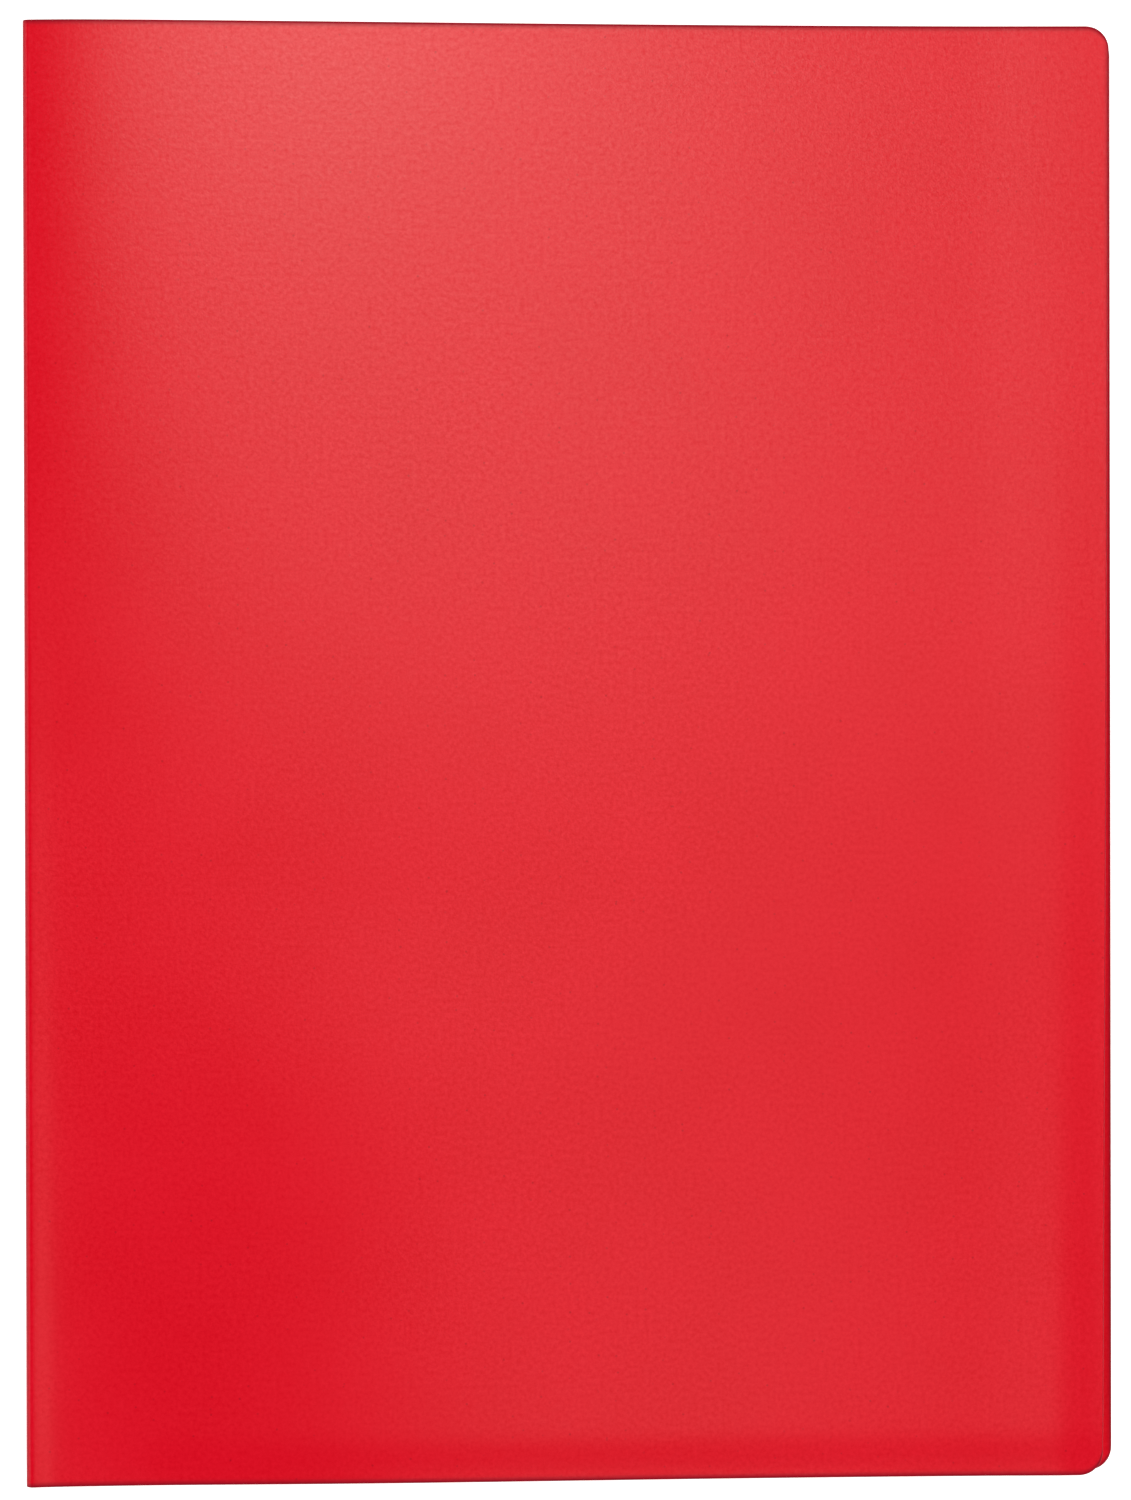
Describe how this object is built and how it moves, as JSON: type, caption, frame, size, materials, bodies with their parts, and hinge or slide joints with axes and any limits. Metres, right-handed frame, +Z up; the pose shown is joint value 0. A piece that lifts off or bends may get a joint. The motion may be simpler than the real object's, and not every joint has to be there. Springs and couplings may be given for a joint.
{
  "type": "display book",
  "caption": "Closed A4 display book: a red creased plastic cover with clear top-opening pockets welded to a strip in its spine.",
  "frame": {"origin": "centre of the closed book's footprint, on the surface that its back cover lies on", "axes": "+X from the spine to the fore-edge, +Y up the page to the open ends of the pockets, +Z up from the back cover to the front cover"},
  "size_m": [0.232, 0.31, 0.0168],
  "materials": {
    "cover_sheet": "red polypropylene sheet, fine embossed grain, semi-matt",
    "binding_strip": "milky clear polypropylene, satin",
    "pocket_film": "clear polypropylene film, lightly glossy"
  },
  "bodies": {
    "back_cover": {"back_cover": "cover_sheet"},
    "spine": {"spine_panel": "cover_sheet", "binding_strip": "binding_strip"},
    "front_cover": {"front_cover": "cover_sheet"},
    "pocket_01": {"pocket_01": "pocket_film"},
    "pocket_02": {"pocket_02": "pocket_film"},
    "pocket_03": {"pocket_03": "pocket_film"},
    "pocket_04": {"pocket_04": "pocket_film"},
    "pocket_05": {"pocket_05": "pocket_film"},
    "pocket_06": {"pocket_06": "pocket_film"},
    "pocket_07": {"pocket_07": "pocket_film"},
    "pocket_08": {"pocket_08": "pocket_film"},
    "pocket_09": {"pocket_09": "pocket_film"},
    "pocket_10": {"pocket_10": "pocket_film"},
    "pocket_11": {"pocket_11": "pocket_film"},
    "pocket_12": {"pocket_12": "pocket_film"},
    "pocket_13": {"pocket_13": "pocket_film"},
    "pocket_14": {"pocket_14": "pocket_film"},
    "pocket_15": {"pocket_15": "pocket_film"},
    "pocket_16": {"pocket_16": "pocket_film"},
    "pocket_17": {"pocket_17": "pocket_film"},
    "pocket_18": {"pocket_18": "pocket_film"},
    "pocket_19": {"pocket_19": "pocket_film"},
    "pocket_20": {"pocket_20": "pocket_film"}
  },
  "joints": [
    {"name": "back_crease", "type": "hinge", "parent": "back_cover", "child": "spine", "pos_m": [-0.11565, 0, 0.00035], "axis": [0, -1, 0], "range_deg": [0, 90]},
    {"name": "front_crease", "type": "hinge", "parent": "spine", "child": "front_cover", "pos_m": [-0.11565, 0, 0.01655], "axis": [0, -1, 0], "range_deg": [0, 92.2]},
    {"name": "turn_01", "type": "hinge", "parent": "spine", "child": "pocket_01", "pos_m": [-0.11435, 0, 0.00215], "axis": [0, -1, 0], "range_deg": [-80.7, 0]},
    {"name": "turn_02", "type": "hinge", "parent": "spine", "child": "pocket_02", "pos_m": [-0.11435, 0, 0.00275], "axis": [0, -1, 0], "range_deg": [-79.9, 0]},
    {"name": "turn_03", "type": "hinge", "parent": "spine", "child": "pocket_03", "pos_m": [-0.11435, 0, 0.00335], "axis": [0, -1, 0], "range_deg": [-79, 0]},
    {"name": "turn_04", "type": "hinge", "parent": "spine", "child": "pocket_04", "pos_m": [-0.11435, 0, 0.00395], "axis": [0, -1, 0], "range_deg": [-78.1, 0]},
    {"name": "turn_05", "type": "hinge", "parent": "spine", "child": "pocket_05", "pos_m": [-0.11435, 0, 0.00455], "axis": [0, -1, 0], "range_deg": [-77.2, 0]},
    {"name": "turn_06", "type": "hinge", "parent": "spine", "child": "pocket_06", "pos_m": [-0.11435, 0, 0.00515], "axis": [0, -1, 0], "range_deg": [-76.3, 0]},
    {"name": "turn_07", "type": "hinge", "parent": "spine", "child": "pocket_07", "pos_m": [-0.11435, 0, 0.00575], "axis": [0, -1, 0], "range_deg": [-75.4, 0]},
    {"name": "turn_08", "type": "hinge", "parent": "spine", "child": "pocket_08", "pos_m": [-0.11435, 0, 0.00635], "axis": [0, -1, 0], "range_deg": [-74.5, 0]},
    {"name": "turn_09", "type": "hinge", "parent": "spine", "child": "pocket_09", "pos_m": [-0.11435, 0, 0.00695], "axis": [0, -1, 0], "range_deg": [-73.6, 0]},
    {"name": "turn_10", "type": "hinge", "parent": "spine", "child": "pocket_10", "pos_m": [-0.11435, 0, 0.00755], "axis": [0, -1, 0], "range_deg": [-72.7, 0]},
    {"name": "turn_11", "type": "hinge", "parent": "spine", "child": "pocket_11", "pos_m": [-0.11435, 0, 0.00815], "axis": [0, -1, 0], "range_deg": [0, 75.1]},
    {"name": "turn_12", "type": "hinge", "parent": "spine", "child": "pocket_12", "pos_m": [-0.11435, 0, 0.00875], "axis": [0, -1, 0], "range_deg": [0, 76]},
    {"name": "turn_13", "type": "hinge", "parent": "spine", "child": "pocket_13", "pos_m": [-0.11435, 0, 0.00935], "axis": [0, -1, 0], "range_deg": [0, 76.9]},
    {"name": "turn_14", "type": "hinge", "parent": "spine", "child": "pocket_14", "pos_m": [-0.11435, 0, 0.00995], "axis": [0, -1, 0], "range_deg": [0, 77.8]},
    {"name": "turn_15", "type": "hinge", "parent": "spine", "child": "pocket_15", "pos_m": [-0.11435, 0, 0.01055], "axis": [0, -1, 0], "range_deg": [0, 78.7]},
    {"name": "turn_16", "type": "hinge", "parent": "spine", "child": "pocket_16", "pos_m": [-0.11435, 0, 0.01115], "axis": [0, -1, 0], "range_deg": [0, 79.6]},
    {"name": "turn_17", "type": "hinge", "parent": "spine", "child": "pocket_17", "pos_m": [-0.11435, 0, 0.01175], "axis": [0, -1, 0], "range_deg": [0, 80.5]},
    {"name": "turn_18", "type": "hinge", "parent": "spine", "child": "pocket_18", "pos_m": [-0.11435, 0, 0.01235], "axis": [0, -1, 0], "range_deg": [0, 81.3]},
    {"name": "turn_19", "type": "hinge", "parent": "spine", "child": "pocket_19", "pos_m": [-0.11435, 0, 0.01295], "axis": [0, -1, 0], "range_deg": [0, 82.2]},
    {"name": "turn_20", "type": "hinge", "parent": "spine", "child": "pocket_20", "pos_m": [-0.11435, 0, 0.01355], "axis": [0, -1, 0], "range_deg": [0, 83.1]}
  ],
  "couplings": [
    {"joint": "turn_01", "follows": "back_crease", "ratio": -0.89665},
    {"joint": "turn_02", "follows": "back_crease", "ratio": -0.88672},
    {"joint": "turn_03", "follows": "back_crease", "ratio": -0.87678},
    {"joint": "turn_04", "follows": "back_crease", "ratio": -0.86685},
    {"joint": "turn_05", "follows": "back_crease", "ratio": -0.85692},
    {"joint": "turn_06", "follows": "back_crease", "ratio": -0.84698},
    {"joint": "turn_07", "follows": "back_crease", "ratio": -0.83705},
    {"joint": "turn_08", "follows": "back_crease", "ratio": -0.82711},
    {"joint": "turn_09", "follows": "back_crease", "ratio": -0.81718},
    {"joint": "turn_10", "follows": "back_crease", "ratio": -0.80725},
    {"joint": "turn_11", "follows": "front_crease", "ratio": 0.8139},
    {"joint": "turn_12", "follows": "front_crease", "ratio": 0.8236},
    {"joint": "turn_13", "follows": "front_crease", "ratio": 0.8333},
    {"joint": "turn_14", "follows": "front_crease", "ratio": 0.84299},
    {"joint": "turn_15", "follows": "front_crease", "ratio": 0.85269},
    {"joint": "turn_16", "follows": "front_crease", "ratio": 0.86238},
    {"joint": "turn_17", "follows": "front_crease", "ratio": 0.87208},
    {"joint": "turn_18", "follows": "front_crease", "ratio": 0.88178},
    {"joint": "turn_19", "follows": "front_crease", "ratio": 0.89147},
    {"joint": "turn_20", "follows": "front_crease", "ratio": 0.90117}
  ]
}
